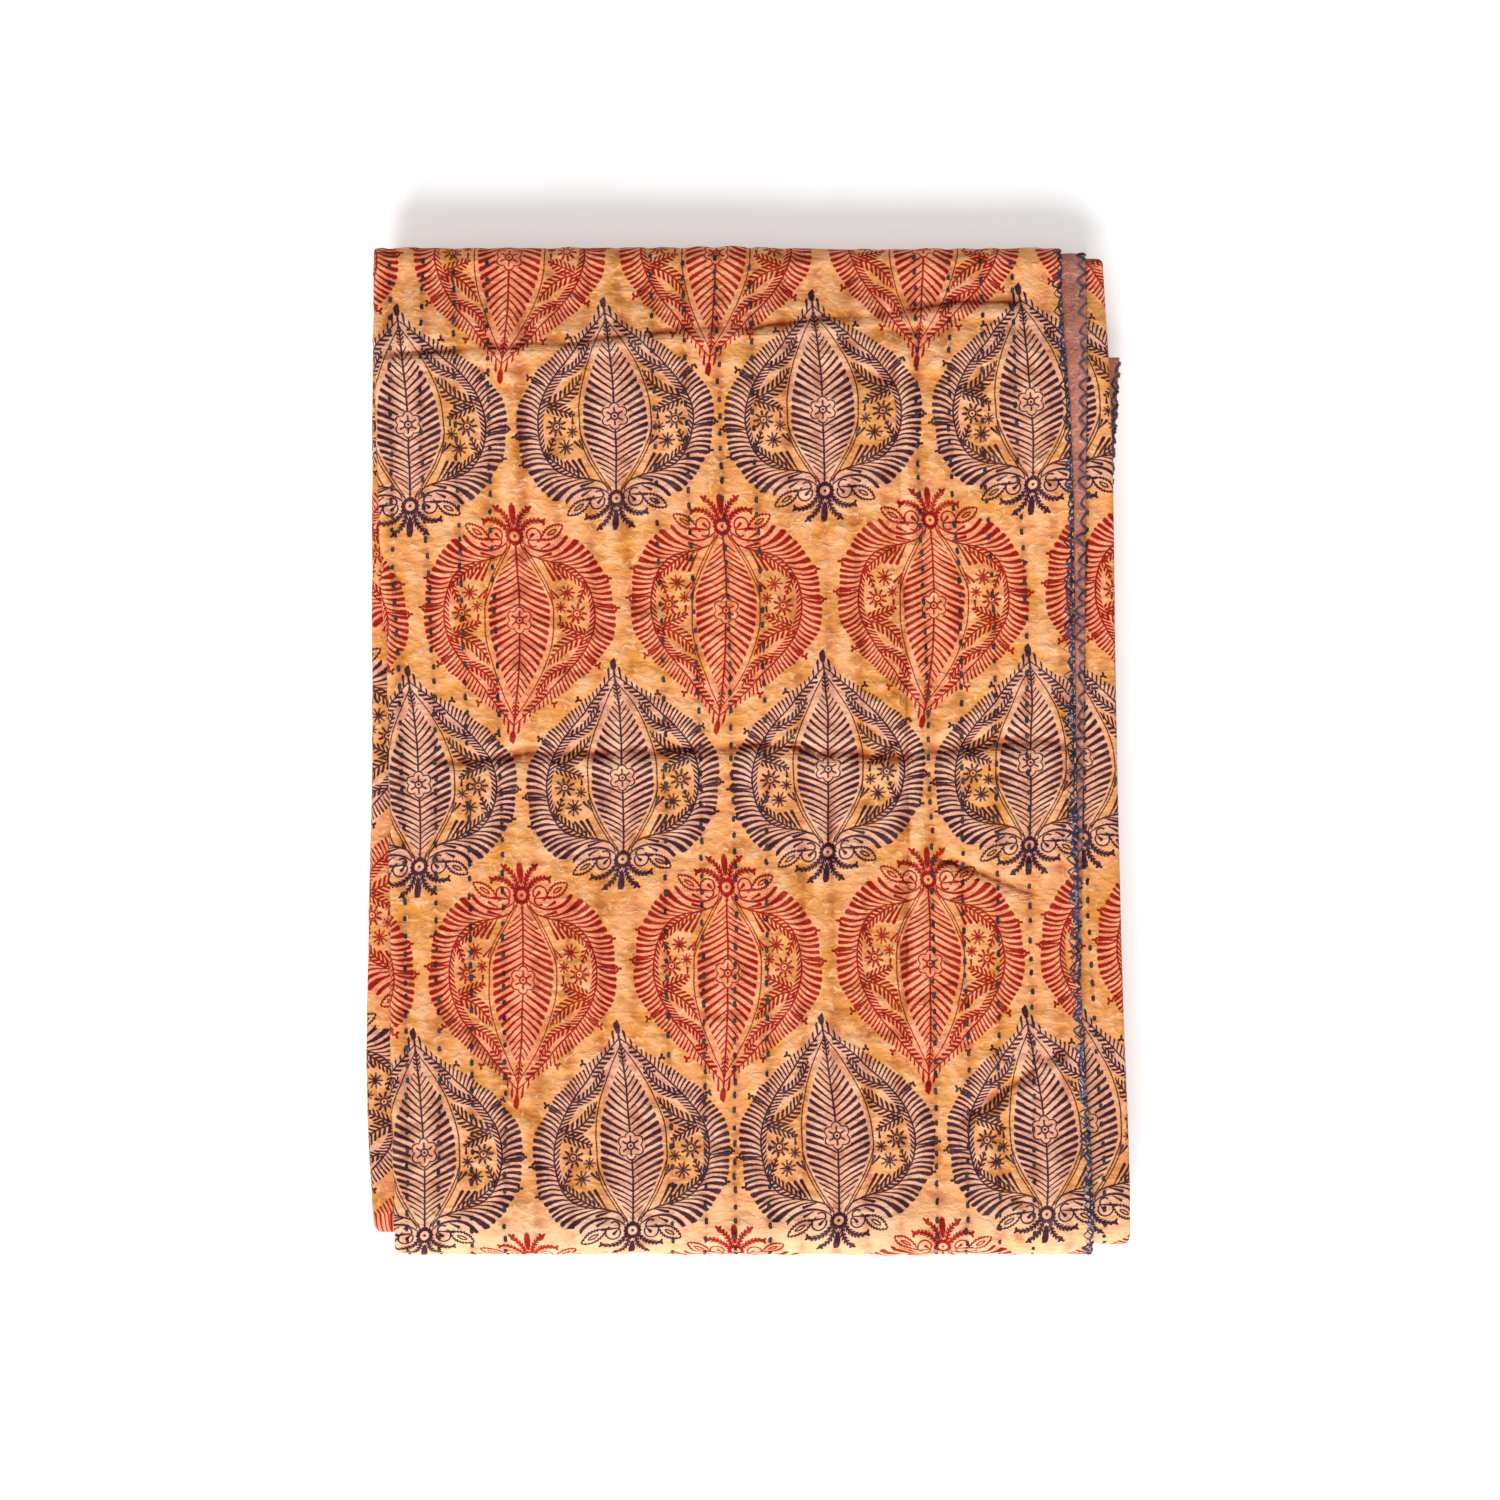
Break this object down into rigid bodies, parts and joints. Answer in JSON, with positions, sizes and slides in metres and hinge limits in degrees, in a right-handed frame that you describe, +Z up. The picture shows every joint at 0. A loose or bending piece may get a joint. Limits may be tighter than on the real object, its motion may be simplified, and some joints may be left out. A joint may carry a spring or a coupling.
{
  "type": "folded kantha quilt",
  "caption": "Block-printed cotton quilt with rows of running stitch, folded into a flat packet with a plain backing showing at its hems.",
  "frame": {"origin": "centre of the folded quilt's footprint, on the surface it rests on", "axes": "+X across the folded quilt towards its free hems, +Y towards the upper fold, +Z up from the surface"},
  "size_m": [0.4088, 0.5414, 0.047],
  "materials": {
    "printed_cotton": "soft washed cotton, printed with leaf motifs",
    "plain_cotton": "soft washed cotton, plain dyed"
  },
  "bodies": {
    "root": {"printed_face_cloth": "printed_cotton", "plain_backing_cloth": "plain_cotton"}
  },
  "joints": []
}
